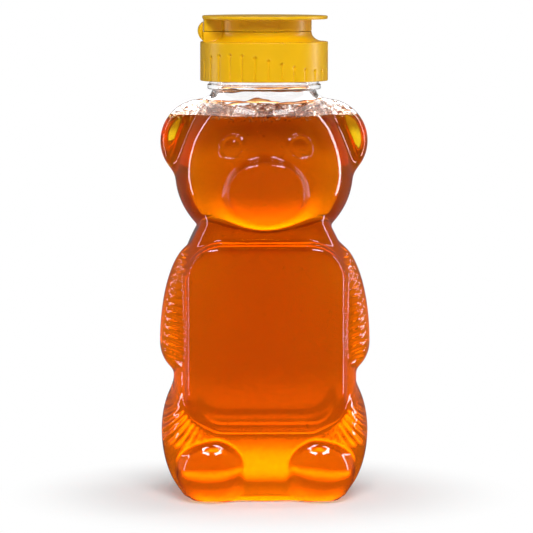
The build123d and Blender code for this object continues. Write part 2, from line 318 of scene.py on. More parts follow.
def skin(name, rows, materials, loop=False, slots=None, flip=False):
    """A closed smooth mesh from rows of points that each go round once. With loop, the last row joins the
    first; otherwise the first and last rows are each closed by one point in their middle."""
    count, across = rows.shape[:2]
    points = rows.reshape(-1, 3)
    here = np.arange(count * across).reshape(count, across)
    nearer = here if loop else here[:-1]
    further = np.roll(here, -1, axis=0) if loop else here[1:]
    quads = np.stack(
        [nearer, np.roll(nearer, -1, axis=1), np.roll(further, -1, axis=1), further], axis=-1
    ).reshape(-1, 4)
    slots = np.zeros(count, int) if slots is None else slots
    slot_of = np.repeat(slots[: len(nearer)], across)
    ends = np.zeros((0, 3), int)
    if not loop:
        points = np.concatenate([points, rows[[0, -1]].mean(axis=1)])
        first, last = here[0], here[-1]
        foot = np.stack([np.full(across, count * across), np.roll(first, -1), first], axis=-1)
        crown = np.stack([np.full(across, count * across + 1), last, np.roll(last, -1)], axis=-1)
        ends = np.concatenate([foot, crown])
        slot_of = np.concatenate([slot_of, np.repeat(slots[[0, -1]], across)])
    if flip:
        quads, ends = quads[:, ::-1], ends[:, ::-1]
    return build(name, points, quads, ends, slot_of, materials)


def build(name, points, quads, triangles, slot_of, materials):
    """Mesh object from points in millimetres, quads, triangles, and their slots or one slot for all."""
    mesh = bpy.data.meshes.new(name)
    mesh.vertices.add(len(points))
    mesh.vertices.foreach_set("co", (points * MM).astype(np.float32).ravel())
    corners = np.concatenate([quads.ravel(), triangles.ravel()]).astype(np.int32)
    mesh.loops.add(len(corners))
    mesh.loops.foreach_set("vertex_index", corners)
    starts = np.concatenate(
        [np.arange(len(quads)) * 4, len(quads) * 4 + np.arange(len(triangles)) * 3]
    ).astype(np.int32)
    mesh.polygons.add(len(starts))
    mesh.polygons.foreach_set("loop_start", starts)
    mesh.polygons.foreach_set("material_index", np.broadcast_to(slot_of, starts.shape).astype(np.int32))
    mesh.polygons.foreach_set("use_smooth", np.ones(len(starts), bool))
    mesh.update(calc_edges=True)
    mesh.validate()
    for material in materials:
        mesh.materials.append(material)
    piece = bpy.data.objects.new(name, mesh)
    bpy.context.scene.collection.objects.link(piece)
    return piece


def soft_path(corners, radii, steps=4):
    """Section line through corners, rounded where their radius isn't 0 by the quadratic curve between the
    arc's tangent points, drawn towards the corner. A point close to each arc's end keeps the flats flat."""
    corners = np.asarray(corners, float)
    line = []
    for number, (corner, radius) in enumerate(zip(corners, radii)):
        if radius <= 0.0:
            line.append(corner[None, :])
            continue
        before, after = corners[number - 1] - corner, corners[number + 1] - corner
        long_before, long_after = np.linalg.norm(before), np.linalg.norm(after)
        before, after = before / long_before, after / long_after
        turn = np.arccos(np.clip(np.dot(before, after), -1.0, 1.0))
        cut = min(radius / np.tan(turn / 2.0), 0.48 * long_before, 0.48 * long_after)
        share = np.linspace(0.0, 1.0, steps + 1)[:, None]
        bend = (
            (1 - share) ** 2 * (corner + cut * before)
            + 2 * share * (1 - share) * corner
            + share**2 * (corner + cut * after)
        )
        lead, tail = corner + 1.25 * cut * before, corner + 1.25 * cut * after
        line.append(np.concatenate([lead[None, :], bend, tail[None, :]]))
    return np.concatenate(line)


def thicken_line(line, longest):
    """The same line with points added where two lie further apart than longest."""
    parts = []
    for a, b in zip(line[:-1], line[1:]):
        count = max(1, int(np.ceil(np.linalg.norm(b - a) / longest)))
        parts.append(a + (b - a) * (np.arange(count) / count)[:, None])
    return np.concatenate(parts + [line[-1][None, :]])


def thread_ring(z, middle, height, half_width):
    """Height over its cylinder of one closed ring, which stands in for a thread."""
    return height * step_between(half_width, 0.45 * half_width, np.abs(z - middle))


# Shared material functions


class Tree:
    """A node tree, with short ways to add nodes and join them."""

    def __init__(self, tree):
        self.nodes = tree.nodes
        self.links = tree.links

    def put(self, socket, value):
        """Joins an input to the output of another node, or sets it to a plain value."""
        if isinstance(value, bpy.types.NodeSocket):
            self.links.new(value, socket)
        else:
            socket.default_value = value

    def add(self, kind, *values, **named):
        """Outputs of a new node. Values go to its inputs in order. Names in small letters are its attributes,
        and names with capitals are inputs, with _ for each space."""
        made = self.nodes.new(kind)
        for name, value in named.items():
            if name.islower():
                setattr(made, name, value)
            else:
                self.put(made.inputs[name.replace("_", " ")], value)
        for socket, value in zip(made.inputs, values):
            self.put(socket, value)
        return made.outputs

    def math(self, operation, *values):
        """Result of one operation on one to three values."""
        return self.add("ShaderNodeMath", *values, operation=operation)["Value"]

    def mix(self, factor, start, end, kind="FLOAT"):
        """Start where the factor is 0, end where it is 1, and a mix between."""
        return self.add("ShaderNodeMix", data_type=kind, Factor=factor, A=start, B=end)["Result"]

    def noise(self, place, scale, detail, roughness=0.5):
        """Cloudy noise from 0 to 1."""
        return self.add("ShaderNodeTexNoise", place, Scale=scale, Detail=detail, Roughness=roughness)["Fac"]

    def ramp(self, value, low, high, start, end):
        """Smooth ramp from start to end while the value goes from low to high."""
        return self.add(
            "ShaderNodeMapRange", interpolation_type="SMOOTHSTEP",
            Value=value, From_Min=low, From_Max=high, To_Min=start, To_Max=end,
        )["Result"]

    def bump(self, shader, height, strength, depth):
        """Bumps a shader's normal by a height."""
        bump = self.add("ShaderNodeBump", Strength=strength, Distance=depth, Height=height)
        self.put(shader["Normal"], bump["Normal"])

    def end(self, label, shader):
        """Makes a shader the material's surface or volume."""
        self.put(self.nodes["Material Output"].inputs[label], shader)

    def cover(self, share, under, over):
        """Makes the material's surface a shader with a share of another over it."""
        self.end("Surface", self.add("ShaderNodeMixShader", share, under, over)["Shader"])


def new_material(name, **inputs):
    """Material, its tree, and its Principled shader's inputs with the given ones set."""
    material = bpy.data.materials.new(name)
    material.use_nodes = True
    tree = Tree(material.node_tree)
    shader = tree.nodes["Principled BSDF"].inputs
    for key, value in inputs.items():
        shader[key.replace("_", " ")].default_value = value
    return material, tree, shader


def clear_material(name, ior, roughness=0.0, colour=WHITE):
    """Material that lets all light through, as new_material gives it."""
    return new_material(name, Base_Color=colour, Roughness=roughness, IOR=ior, Transmission_Weight=1.0)


def moulding_group():
    """Shared node group: the slow waves and fine grain of a moulded skin, as a height and a mask."""
    known = bpy.data.node_groups.get("Moulded_Skin")
    if known:
        return known
    group = bpy.data.node_groups.new("Moulded_Skin", "ShaderNodeTree")
    for label, value in (("Wave Scale", 60.0), ("Grain Scale", 900.0), ("Grain Share", 0.2)):
        socket = group.interface.new_socket(name=label, in_out="INPUT", socket_type="NodeSocketFloat")
        socket.default_value = value
    for label in ("Height", "Cloud"):
        group.interface.new_socket(name=label, in_out="OUTPUT", socket_type="NodeSocketFloat")
    tree = Tree(group)
    given = tree.add("NodeGroupInput")
    place = tree.add("ShaderNodeTexCoord")["Object"]
    wave = tree.noise(place, given["Wave Scale"], 2.0, 0.45)
    grain = tree.noise(place, given["Grain Scale"], 3.0, 0.6)
    tree.add("NodeGroupOutput", Height=tree.mix(given["Grain Share"], wave, grain), Cloud=wave)
    return group


def moulded_bump(tree, shader, wave, grain, share, strength, depth):
    """Bumps a shader's normal by the shared moulded skin. Returns the skin's mask."""
    moulded = tree.add(
        "ShaderNodeGroup", node_tree=moulding_group(), Wave_Scale=wave, Grain_Scale=grain, Grain_Share=share
    )
    tree.bump(shader, moulded["Height"], strength, depth)
    return moulded["Cloud"]


def clear_plastic():
    """Clear bottle plastic, with the soft ripple of a blown wall."""
    material, tree, shader = clear_material("Clear_Plastic", 1.5)
    moulded_bump(tree, shader, 90.0, 700.0, 0.03, 0.25, 0.0004)
    return material


def wetted_plastic():
    """The plastic's inner face where honey lies on it. Both bend light alike, so it goes straight through."""
    known = bpy.data.materials.get("Wetted_Plastic")
    return known or clear_material("Wetted_Plastic", 1.0)[0]


def honey_material():
    """Honey's body: clear, tinted by the depth of honey that light has crossed, with a slight haze."""
    finishes = bpy.context.scene.bear_finishes
    material, tree, _ = clear_material("Honey", 1.0)
    tinted = tree.add(
        "ShaderNodeVolumeAbsorption", Color=(*finishes.honey_tint, 1.0), Density=finishes.honey_strength
    )
    haze = tree.add("ShaderNodeVolumeScatter", Color=(1.0, 0.8, 0.3, 1.0), Density=finishes.honey_haze)
    tree.end("Volume", tree.add("ShaderNodeAddShader", tinted["Volume"], haze["Volume"])["Shader"])
    return material


def honey_skin_material():
    """The honey's free surface, where it meets the air."""
    material, tree, shader = clear_material("Honey_Surface", 1.49, 0.02)
    moulded_bump(tree, shader, 400.0, 1500.0, 0.2, 0.6, 0.0004)
    return material


def residue_material():
    """Thin smear of honey on the plastic, darker where it is thicker."""
    material, tree, shader = clear_material("Honey_Smear", 1.49, 0.05)
    cloud = tree.noise(tree.add("ShaderNodeTexCoord")["Object"], 500.0, 2.0)
    tree.put(shader["Base Color"], tree.mix(cloud, (0.75, 0.22, 0.02, 1.0), (0.95, 0.6, 0.3, 1.0), "RGBA"))
    return material


def cap_plastic():
    """Yellow moulded closure plastic, semi-gloss, with a fine grain and slightly uneven colour."""
    known = bpy.data.materials.get("Cap_Plastic")
    if known:
        return known
    material, tree, shader = new_material(
        "Cap_Plastic", Roughness=0.32, IOR=1.45,
        Subsurface_Weight=0.12, Subsurface_Radius=(0.002, 0.001, 0.0003), Subsurface_Scale=1.0,
    )
    cloud = moulded_bump(tree, shader, 160.0, 2600.0, 0.35, 0.12, 0.0002)
    yellow = np.array(bpy.context.scene.bear_finishes.cap_yellow)
    dark, light = (*(yellow * 0.94), 1.0), (*np.minimum(yellow * 1.05, 1.0), 1.0)
    tree.put(shader["Base Color"], tree.mix(cloud, dark, light, "RGBA"))
    return material


def liner_material():
    """White foam of the seal liner, with small cells."""
    material, tree, shader = new_material("Liner_Foam", Roughness=0.8)
    place = tree.add("ShaderNodeTexCoord")["Object"]
    cells = tree.add("ShaderNodeTexVoronoi", Vector=place, Scale=2600.0)["Distance"]
    white = np.array(bpy.context.scene.bear_finishes.liner_white)
    tree.put(shader["Base Color"], tree.mix(cells, (*(white * 0.93), 1.0), (*white, 1.0), "RGBA"))
    tree.bump(shader, cells, 0.5, 0.0001)
    return material


# Settings


def length(name, description, default):
    """Setting that is a length in metres."""
    return FloatProperty(name=name, description=description, default=default, unit="LENGTH")


def colour(name, description, default):
    """Setting that is a colour."""
    return FloatVectorProperty(
        name=name, description=description, default=default, subtype="COLOR", min=0.0, max=1.0
    )


class BearSizes(PropertyGroup):
    """Sizes of the bottle that a user would change."""

    wall: length("Wall", "Thickness of the blown wall", 0.0008)
    level: length("Honey Level", "Height of the honey's free surface", 0.1216)
    crease: length("Crease", "How far one form runs softly into the next", 0.0014)
    rib_depth: length("Rib Depth", "The grooves on the arms are 0.72 of this deep", 0.0016)
    thread_pitch: length("Thread Pitch", "The thread's pitch, which places its rings", 0.004233)
    bubbles: IntProperty(name="Bubbles", description="Bubbles on the honey's surface", default=1100)
    specks: IntProperty(name="Specks", description="Small bubbles inside the honey", default=220)
    seed: IntProperty(name="Seed", description="Start of the bubbles' random places", default=7)


class BearFinishes(PropertyGroup):
    """Colours of the bottle that a user would change."""

    honey_tint: colour("Honey Tint", "Colour that the honey lets through", (0.976, 0.882, 0.0))
    honey_strength: FloatProperty(
        name="Honey Strength", description="How fast honey tints light, per metre", default=500.0
    )
    honey_haze: FloatProperty(
        name="Honey Haze", description="How much light honey scatters, per metre", default=11.0
    )
    cap_yellow: colour("Cap Yellow", "Colour of the closure's plastic", (0.84, 0.46, 0.002))
    liner_white: colour("Liner White", "Colour of the seal liner", (0.85, 0.85, 0.82))
    floor_white: colour("Floor White", "Colour of the floor", (0.9, 0.9, 0.9))


# Pieces


def millimetres(context, *names):
    """Sizes from the panel, by name, in millimetres."""
    return [getattr(context.scene.bear_sizes, name) / MM for name in names]


class BEAR_OT_bottle(Operator):
    """Blow-moulded clear bottle: outer skin, neck with a ring for its thread, and inner wall, as one mesh"""

    bl_idname = "bear.bottle"
    bl_label = "Bottle"

    def execute(self, context):
        wall, crease, depth, pitch = millimetres(context, "wall", "crease", "rib_depth", "thread_pitch")
        turn = columns(228)
        levels = spaced(
            [FAN_FOOT, 41.0, 79.0, 91.0, 106.5, 117.0, FAN_HEAD], [0.8, 0.38, 0.7, 0.75, 0.45, 0.8]
        )
        outer = cast(turn, *rays(turn, levels, (22, 16), NECK_RADIUS), 0.0, 0.0, 0.0, crease, depth)
        outside = soft_path(
            [
                (NECK_RADIUS, FAN_NECK), (NECK_RADIUS, BEAD_BOTTOM), (BEAD_RADIUS, BEAD_BOTTOM),
                (BEAD_RADIUS, BEAD_TOP), (FINISH_RADIUS, BEAD_TOP), (FINISH_RADIUS, FINISH_TOP),
                (BORE_RADIUS, FINISH_TOP), (BORE_RADIUS, FAN_NECK + 0.3),
            ],
            [0, 0.35, 0.5, 0.5, 0.2, 0.6, 0.5, 0],
        )
        outside = thicken_line(outside[1:], 0.42)
        radius, height = outside.T[..., None]
        ridge = thread_ring(height, THREAD_START + pitch, 1.25, 1.1)
        neck = around(turn, radius + np.where(radius > 16.6, ridge, 0.0), height)
        # The inner wall is sunk behind the arms' ribs, to stay clear of their grooves.
        inner_levels = spaced([FAN_FOOT, 79.0, 92.0, FAN_HEAD], [2.4, 1.2, 1.6])
        start, angle = rays(turn, inner_levels, (10, 8), BORE_RADIUS)
        inner = cast(turn, start, angle, wall, NECK_WALL, INNER_BASE, crease, -0.7 * wall)
        rows = np.concatenate([outer, neck, inner[::-1]])
        # Honey wets the fan of 9 rows at the foot and the levels up to its surface.
        wet_rows = 9 + len(inner_levels) - 1
        slots = np.zeros(len(rows), int)
        slots[-wet_rows - 1 :] = 1
        piece = skin("bottle_shell", rows, [clear_plastic(), wetted_plastic()], slots=slots)
        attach(piece, "bottle")
        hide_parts("bottle")
        return {"FINISHED"}


class BEAR_OT_honey(Operator):
    """Honey that fills the bottle up to its level, and its free surface"""

    bl_idname = "bear.honey"
    bl_label = "Honey"

    def execute(self, context):
        wall, crease, level = millimetres(context, "wall", "crease", "level")
        turn = columns(168)
        # The honey's side lies in the middle of the wall, so that no air shows between the two.
        levels = spaced([FAN_FOOT, 79.0, 92.0, level - 0.3], [1.5, 1.0, 1.2])
        start, angle = rays(turn, levels, (12, 1), BORE_RADIUS)
        side = cast(turn, start[:-1], angle[:-1], 0.5 * wall, 0.7, HONEY_BASE, crease, -1.0 * wall)
        start, angle = rays(turn, np.array([level]), (1, 1), BORE_RADIUS)
        rim = cast(turn, start[:1], angle[:1], wall - 0.05, NECK_WALL, HONEY_BASE, crease)
        shares = np.concatenate([[1.0, 0.985, 0.96, 0.92], np.linspace(0.85, 0.12, 7)])[:, None, None]
        top = rim * shares
        top[..., 2] = level - 0.35 * step_between(1.0, 0.9, shares[..., 0])
        piece = skin("honey_fill", np.concatenate([side, top]), [honey_material()])
        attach(piece, "bottle")
        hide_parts("honey")
        lower = top[:6].copy()
        lower[..., 2] -= 0.25
        film = np.concatenate([lower[::-1], top + np.array([0.0, 0.0, 0.02])])
        slots = np.zeros(len(film), int)
        slots[:6] = 1
        surface = skin("honey_surface", film, [honey_skin_material(), wetted_plastic()], slots=slots)
        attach(surface, "bottle")
        return {"FINISHED"}


def balls(name, middle, size, material, rings=5, segments=8):
    """Many small spheres in one mesh: one unit ball of rings and segments, scaled and moved for each."""
    fall = np.linspace(0.0, pi, rings + 2)[1:-1][:, None]
    ring = around(even_turn(segments), np.sin(fall), np.cos(fall)).reshape(-1, 3)
    unit = np.concatenate([ring, [[0.0, 0.0, 1.0], [0.0, 0.0, -1.0]]])
    here = np.arange(rings * segments).reshape(rings, segments)
    right = np.roll(here, -1, axis=1)
    quads = np.stack([here[:-1], here[1:], right[1:], right[:-1]], axis=-1).reshape(-1, 4)
    top, foot = np.full(segments, rings * segments), np.full(segments, rings * segments + 1)
    tips = np.concatenate(
        [np.stack([top, here[0], right[0]], axis=-1), np.stack([foot, right[-1], here[-1]], axis=-1)]
    )
    shift = (np.arange(len(middle)) * len(unit))[:, None, None]
    points = (unit[None] * size[:, None, None] + middle[:, None, :]).reshape(-1, 3)
    all_quads, all_tips = (quads[None] + shift).reshape(-1, 4), (tips[None] + shift).reshape(-1, 3)
    return build(name, points, all_quads, all_tips, 0, [material])


class BEAR_OT_bubbles(Operator):
    """Bubbles that lie as foam on the honey, and small ones inside it"""

    bl_idname = "bear.bubbles"
    bl_label = "Bubbles"

    def execute(self, context):
        wall, crease, level = millimetres(context, "wall", "crease", "level")
        sizes = context.scene.bear_sizes
        random = np.random.default_rng(sizes.seed)

        def on_wall(turn, height, inset):
            """Points of the bear's skin, moved inwards, each in its own direction at its own height."""
            return cast(turn, height[None, :], 0.0, inset, NECK_WALL, HONEY_BASE, crease)[0]

        # Foam: most bubbles are small, low and close to the wall.
        count = sizes.bubbles
        size = 0.3 + 0.75 * random.random(count) ** 2
        turn = random.uniform(-pi, pi, count)
        height = level - 0.5 + 0.8 * size + 3.2 * random.random(count) ** 1.4
        rim = on_wall(turn, height, wall)
        away = np.hypot(rim[:, 0], rim[:, 1]) - size - 0.1 - 2.2 * random.random(count) ** 2
        middle = np.stack([away * np.cos(turn), away * np.sin(turn), height], axis=-1)
        film = clear_material("Bubble_Film", 1.33, colour=(0.92, 0.83, 0.76, 1.0))[0]
        piece = balls("foam_bubbles", middle, size, film)
        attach(piece, "bottle")

        # Specks: some at all heights, most of them in front, and a row of them under the surface.
        count = sizes.specks
        turn = -pi / 2 + random.normal(0.0, 0.7, count)
        height = random.uniform(16.0, level - 3.0, count)
        rim = on_wall(turn, height, wall + 0.6)
        deep = rim * (1.0 - 0.5 * random.random(count)[:, None] ** 2 * np.array([1.0, 1.0, 0.0]))
        deep_size = 0.11 + 0.22 * random.random(count) ** 3
        count = 2 * sizes.specks
        turn = random.uniform(-pi, pi, count)
        height = level - 0.3 - 1.5 * random.random(count) ** 2
        high = on_wall(turn, height, wall + 0.6)
        high_size = 0.15 + 0.2 * random.random(count)
        middle, size = np.concatenate([deep, high]), np.concatenate([deep_size, high_size])
        piece = balls("honey_specks", middle, size, clear_material("Air_Bubble", 0.67)[0], 3, 6)
        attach(piece, "bottle")
        return {"FINISHED"}


class BEAR_OT_residue(Operator):
    """Rings of honey left inside the neck, at the bead and at the shoulder"""

    bl_idname = "bear.residue"
    bl_label = "Residue"

    def execute(self, context):
        wall, crease = millimetres(context, "wall", "crease")
        material = residue_material()
        turn = even_turn(200)
        section = np.linspace(0.0, 2 * pi, 9)[:-1][:, None]
        for name, middle, phase in (("residue_bead", 129.7, 0.4), ("residue_shoulder", 125.9, 2.1)):
            waves = np.sin(2 * turn + phase) + 0.7 * np.sin(5 * turn + 3 * phase)
            waves = waves + 0.5 * np.sin(13 * turn - phase)
            amount = np.clip(0.5 + 0.28 * waves, 0.08, 1.0)[None, :]
            height = middle + 0.25 * np.sin(3 * turn + phase)[None, :] + 0.75 * amount * np.sin(section)
            inside = cast(turn, height[:1], 0.0, wall, NECK_WALL, INNER_BASE, crease)[0]
            reach = np.hypot(inside[:, 0], inside[:, 1])[None, :]
            radius = reach - 0.04 - 0.45 * amount * (0.5 - 0.5 * np.cos(section))
            piece = skin(name, around(turn, radius, height), [material], loop=True)
            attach(piece, "bottle")
        return {"FINISHED"}


class BEAR_OT_liner(Operator):
    """Foam ring that seals the neck under the cap's deck"""

    bl_idname = "bear.liner"
    bl_label = "Seal Liner"

    def execute(self, context):
        low, high = 142.55, 143.35
        line = soft_path(
            [(15.0, low), (18.75, low), (18.75, high), (12.0, high), (12.0, low), (15.0, low)],
            [0, 0.15, 0.15, 0.15, 0.15, 0], steps=3,
        )[:-1]
        rows = around(even_turn(120), *line.T[..., None])
        piece = skin("liner_ring", rows, [liner_material()], loop=True)
        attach(piece, "liner")
        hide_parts("seal_liner")
        return {"FINISHED"}


def lug_outline(turn, radius, half_width, reach):
    """Radius of a circle joined softly with the block that carries the hinge on the -X side."""
    side = np.maximum(-np.cos(turn), 1e-6)
    block = np.minimum(reach / side, half_width / np.maximum(np.abs(np.sin(turn)), 1e-6))
    block = np.where(np.cos(turn) < 0.0, block, 0.0)
    return -smooth_union(-(radius + 0.0 * block), -block, 0.8)


def groove_columns():
    """Directions round the cap, closer together at each groove."""
    near = [-0.9, -0.62, -0.42, -0.26, -0.12, 0.0, 0.12, 0.26, 0.42, 0.62, 0.9]
    local = np.array(near + [2.2, 4.0, 6.0, 8.0, 9.8])
    middles = GROOVE_FIRST - 90.0 + np.arange(GROOVE_COUNT) * GROOVE_STEP
    return np.radians((middles[:, None] + local[None, :]).ravel())


def groove_cut(turn, radius, height):
    """Depth of the grooves round the skirt, whose tops follow two waves and end in a dimple."""
    angle = np.degrees(turn)[None, :] + 90.0
    number = np.round((angle - GROOVE_FIRST) / GROOVE_STEP)
    off = np.radians(angle - GROOVE_FIRST - GROOVE_STEP * number) * CAP_RADIUS
    wave = np.cos(np.radians(2.0 * (GROOVE_FIRST + GROOVE_STEP * number + 34.0)))
    over = height - (CAP_SHOULDER - (6.6 - 2.56 * wave))
    groove = 0.22 * step_between(0.30, 0.06, np.abs(off)) * step_between(0.15, -0.15, over)
    dimple = np.exp(-((off / 0.3) ** 2) - ((over - 0.05) / 0.36) ** 2)
    on_skirt = (radius > 20.0) & (height < CAP_SHOULDER - 0.4)
    return np.where(on_skirt, np.maximum(groove, dimple), 0.0)


class BEAR_OT_cap(Operator):
    """Screw cap: grooved skirt, flared pedestal, dished deck with its hole, and a ring for its thread"""

    bl_idname = "bear.cap"
    bl_label = "Screw Cap"

    def execute(self, context):
        (pitch,) = millimetres(context, "thread_pitch")
        turn = groove_columns()
        foot = CAP_RADIUS - 0.8
        bend = np.linspace(0.0, pi / 2, 11)
        flare_x = foot - (foot - PEDESTAL_RADIUS) * np.sin(bend)
        flare = np.stack([flare_x, CAP_SHOULDER + 3.0 * (1.0 - np.cos(bend))], axis=-1)
        skirt = soft_path(
            [
                (19.6, CAP_BOTTOM), (CAP_RADIUS, CAP_BOTTOM), (CAP_RADIUS, CAP_SHOULDER),
                (foot + 0.05, CAP_SHOULDER),
            ],
            [0, 0.3, 0.6, 0], steps=5,
        )
        deck = soft_path(
            [
                (PEDESTAL_RADIUS, CAP_SHOULDER + 3.05), (PEDESTAL_RADIUS, PARTING), (9.0, PARTING),
                (8.6, PARTING - 0.5), (3.175, PARTING - 0.5), (3.175, PARTING - 1.5), (13.9, PARTING - 1.5),
                (13.9, DECK_UNDERSIDE), (19.05, DECK_UNDERSIDE), (19.05, CAP_BOTTOM), (19.6, CAP_BOTTOM),
            ],
            [0, 0.12, 0.15, 0.2, 0.2, 0.15, 0.3, 0.2, 0.3, 0.25, 0], steps=3,
        )
        hidden = np.concatenate([skirt[-1:], flare, deck[1:-1], skirt[:1]])
        line = np.concatenate([thicken_line(skirt, 0.3)[:-1], thicken_line(hidden, 0.62)[:-1]])
        radius, height = line.T[..., None]
        inside = (radius < 19.2) & (radius > 18.9)
        ridge = thread_ring(height, THREAD_START + 0.5 * pitch + 1.2, 1.15, 0.95)
        shaped = radius - groove_cut(turn, radius, height) - np.where(inside, ridge, 0.0)
        on_pedestal = (height > CAP_SHOULDER - 0.01) & (radius > 14.9) & (radius < 19.45)
        lug = lug_outline(turn[None, :], radius, 7.0, 19.4)
        shaped = np.where(on_pedestal, np.maximum(lug, shaped), shaped)
        piece = skin("cap_body", around(turn, shaped, height), [cap_plastic()], loop=True)
        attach(piece, "cap")
        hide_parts("screw_cap")
        return {"FINISHED"}


class BEAR_OT_lid(Operator):
    """Flip lid: flat disc with a thumb lip, skirt, hinge block and the plug that shuts the pouring hole"""

    bl_idname = "bear.lid"
    bl_label = "Flip Lid"

    def execute(self, context):
        turn = even_turn(240) + 1e-4
        disc, under, foot = 20.2, LID_TOP - 1.1, PARTING + 0.15
        skirt_radius = PEDESTAL_RADIUS
        line = soft_path(
            [
                (0.4, LID_TOP), (disc, LID_TOP), (disc, under), (skirt_radius, under), (skirt_radius, foot),
                (13.9, foot), (13.9, under), (3.115, under), (3.115, PARTING - 1.5), (2.215, PARTING - 1.5),
                (2.215, under - 0.9), (0.4, under - 0.9),
            ],
            [0, 0.45, 0.4, 0.4, 0.15, 0.12, 0.3, 0.3, 0.3, 0.2, 0.3, 0], steps=4,
        )
        line = thicken_line(line, 1.0)
        radius, height = line.T[..., None]
        # The disc is cut straight over the hinge, and the skirt's outside carries the hinge block.
        side = np.maximum(-np.cos(turn), 1e-6)[None, :]
        trim = np.where(np.cos(turn)[None, :] < 0.0, np.minimum(19.6 / side, disc), disc) / disc
        disc_rows = radius * np.where(radius > 12.0, trim, 1.0)
        lug = lug_outline(turn[None, :], skirt_radius, 7.0, 19.2)
        number = np.arange(len(line))[:, None]
        first = int(np.argmax((line[:, 1] < under + 1e-6) & (line[:, 0] < disc - 0.5)))
        inner = int(np.argmax((line[:, 1] <= foot + 1e-6) & (line[:, 0] < 14.6)))
        skirt_rows = (number >= first) & (number < inner)
        share = np.clip((radius - skirt_radius) / (19.75 - skirt_radius), 0.0, 1.0)
        skirt = lug + (disc_rows - lug) * share
        shaped = np.where(skirt_rows, skirt + np.minimum(radius - skirt_radius, 0.0), disc_rows)
        piece = skin("lid_body", around(turn, shaped, height), [cap_plastic()], flip=True)
        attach(piece, "lid")
        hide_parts("flip_lid")
        return {"FINISHED"}


class BEAR_OT_hinge(Operator):
    """Living hinge: a strap, bowed outwards and flat inside, that runs between the cap and the lid"""

    bl_idname = "bear.hinge"
    bl_label = "Hinge Strap"

    def execute(self, context):
        middle, half_height, bow = PARTING + 0.075, 2.9, 1.6
        radius = (half_height**2 + bow**2) / (2 * bow)
        reach = np.arcsin(half_height / radius)
        climb = np.linspace(-reach, reach, 33)[:, None]
        across = np.linspace(-5.5, 5.5, 23)[None, :]
        x, y, z = np.broadcast_arrays(
            -19.46 - bow + radius - radius * np.cos(climb), across, middle + radius * np.sin(climb)
        )
        outer = np.stack([x, y, z], axis=-1)
        inner = np.stack([np.full(x.shape, -19.38), y, z], axis=-1)
        piece = skin("hinge_band", np.concatenate([outer, inner[:, ::-1]], axis=1), [cap_plastic()])
        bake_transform(piece)
        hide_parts("hinge_strap")
        return {"FINISHED"}


def flat_sheet(scene, name, corners, material):
    """Sheet with four corners in metres."""
    mesh = bpy.data.meshes.new(name)
    mesh.from_pydata(corners, [], [(0, 1, 2, 3)])
    mesh.materials.append(material)
    sheet = bpy.data.objects.new(name, mesh)
    scene.collection.objects.link(sheet)
    return sheet


def floor_material(scene):
    """Near-white floor that keeps the shadow: its own shading, raised by a glow where it is seen directly, in
    gloss or through the bottle. The glow has its own strength for each of these; in gloss and through the
    bottle it is painted light, not light from the lamps."""
    material, tree, shader = new_material(
        "Floor", Base_Color=(*scene.bear_finishes.floor_white, 1.0), Roughness=0.6, Specular_IOR_Level=0.2
    )
    place = tree.add("ShaderNodeTexCoord")["Object"]
    tree.bump(shader, tree.noise(place, 300.0, 2.0), 0.05, 0.0005)
    at = tree.add("ShaderNodeSeparateXYZ", place)
    path = tree.add("ShaderNodeLightPath")
    facing = tree.add("ShaderNodeLayerWeight")["Facing"]
    # Painted reflection: in gloss, the floor's glow is brighter behind the bottle than in front.
    glossy = tree.mix(path["Is Glossy Ray"], 1.0, tree.ramp(at["Y"], 0.02, 0.2, 0.02, 0.14))
    # Painted light: through the bottle, the glow is a painted pool of light, brighter where it is seen at a
    # low angle, to the sides and close behind, and tinted as warm painted light where it is seen from above.
    wide = tree.math("ABSOLUTE", at["X"])
    outward = tree.math("SUBTRACT", wide, tree.math("ABSOLUTE", at["Y"]))
    to_side, to_horizon = tree.ramp(outward, 0.06, 0.2, 0.0, 2.2), tree.ramp(wide, 0.3, 0.7, 1.0, 0.0)
    beside = tree.math("MULTIPLY_ADD", to_side, to_horizon, 1.0)
    through = tree.math("MULTIPLY", tree.ramp(facing, 0.62, 0.84, 0.35, 1.05), beside)
    through = tree.math("MULTIPLY", through, tree.ramp(at["Y"], 0.2, 0.36, 1.8, 1.0))
    warm_painted_light = tree.mix(tree.ramp(facing, 0.62, 0.84, 1.0, 0.0), WHITE, (1.0, 0.6, 0.4, 1.0), "RGBA")
    crossed = path["Is Transmission Ray"]
    tint, strength = tree.mix(crossed, WHITE, warm_painted_light, "RGBA"), tree.mix(crossed, glossy, through)
    glow = tree.add("ShaderNodeEmission", Color=tint, Strength=strength)["Emission"]
    # Seen directly, it has more of the glow far from the bottle, so that the shadow stays near it.
    away = tree.add("ShaderNodeVectorMath", place, operation="LENGTH")["Value"]
    direct = tree.mix(path["Is Camera Ray"], 1.0, tree.ramp(away, 0.025, 0.085, 0.2, 1.0))
    seen = tree.math("MAXIMUM", path["Is Camera Ray"], crossed)
    seen = tree.math("MAXIMUM", seen, path["Is Glossy Ray"])
    shading = tree.nodes["Principled BSDF"].outputs["BSDF"]
    share = tree.math("MULTIPLY", seen, direct)
    tree.cover(share, shading, glow)
    return material


